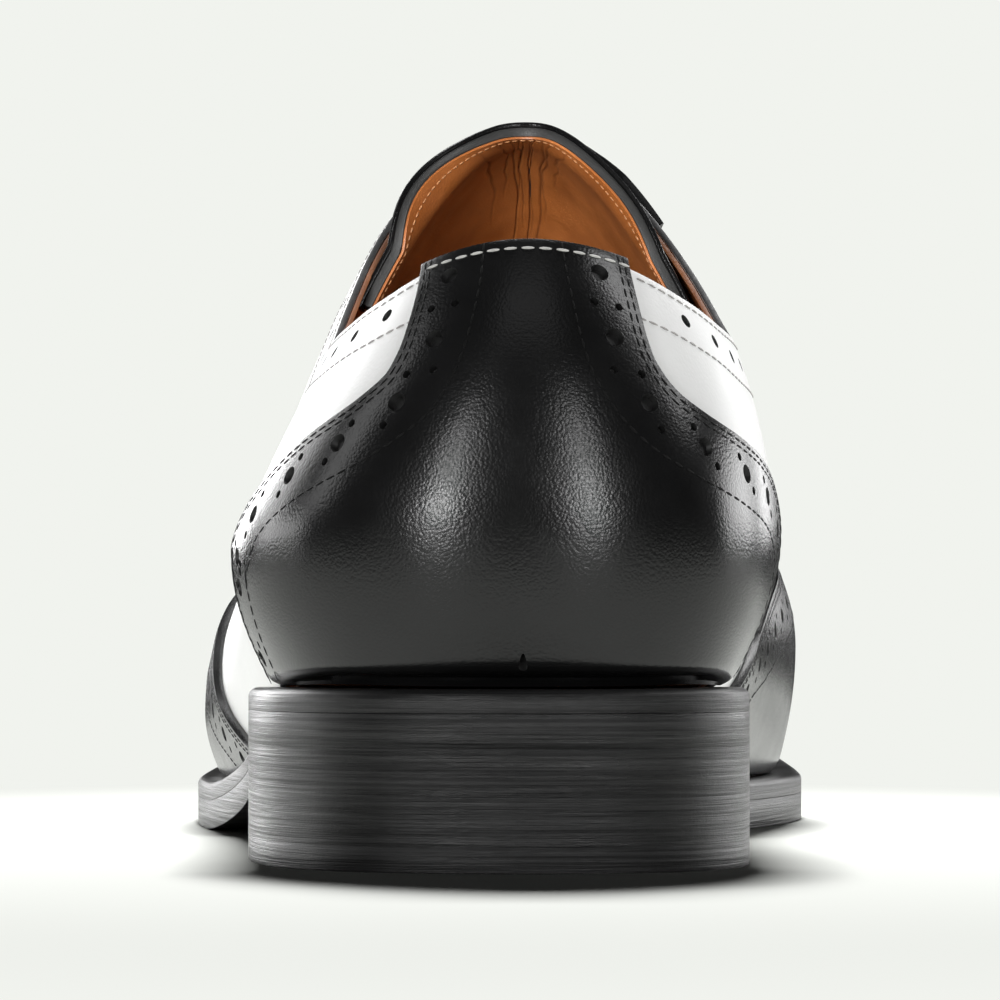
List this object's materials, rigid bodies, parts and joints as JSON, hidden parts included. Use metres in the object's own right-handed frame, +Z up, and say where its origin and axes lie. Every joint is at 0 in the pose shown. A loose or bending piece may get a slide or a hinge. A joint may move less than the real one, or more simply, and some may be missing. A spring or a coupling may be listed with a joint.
{
  "type": "wingtip shoe",
  "caption": "Left men's wingtip dress shoe in white leather with black brogue counter, wing cap and facings, tan lining, welted sole and stacked heel.",
  "frame": {"origin": "at the floor, under the middle of the sole's box", "axes": "+Y from heel to toe, +X towards the inner side of the foot, +Z up"},
  "size_m": [0.1028, 0.301, 0.1082],
  "materials": {
    "white_leather": "smooth, semi-gloss",
    "black_leather": "fine grain, semi-gloss",
    "tan_leather": "smooth lining leather, matte",
    "sole_edge": "black dyed and brushed",
    "top_lift": "matte",
    "lace": "waxed cord"
  },
  "bodies": {
    "root": {"upper": "white_leather", "counter": "black_leather", "wing_cap": "black_leather", "facing_lateral": "black_leather", "facing_medial": "black_leather", "tongue": "black_leather", "insole": "tan_leather", "welt": "sole_edge", "outsole": "sole_edge", "heel_stack": "sole_edge", "top_lift": "top_lift", "lace_1": "lace", "lace_2": "lace", "lace_3": "lace", "lace_4": "lace", "lace_5": "lace"}
  },
  "joints": []
}
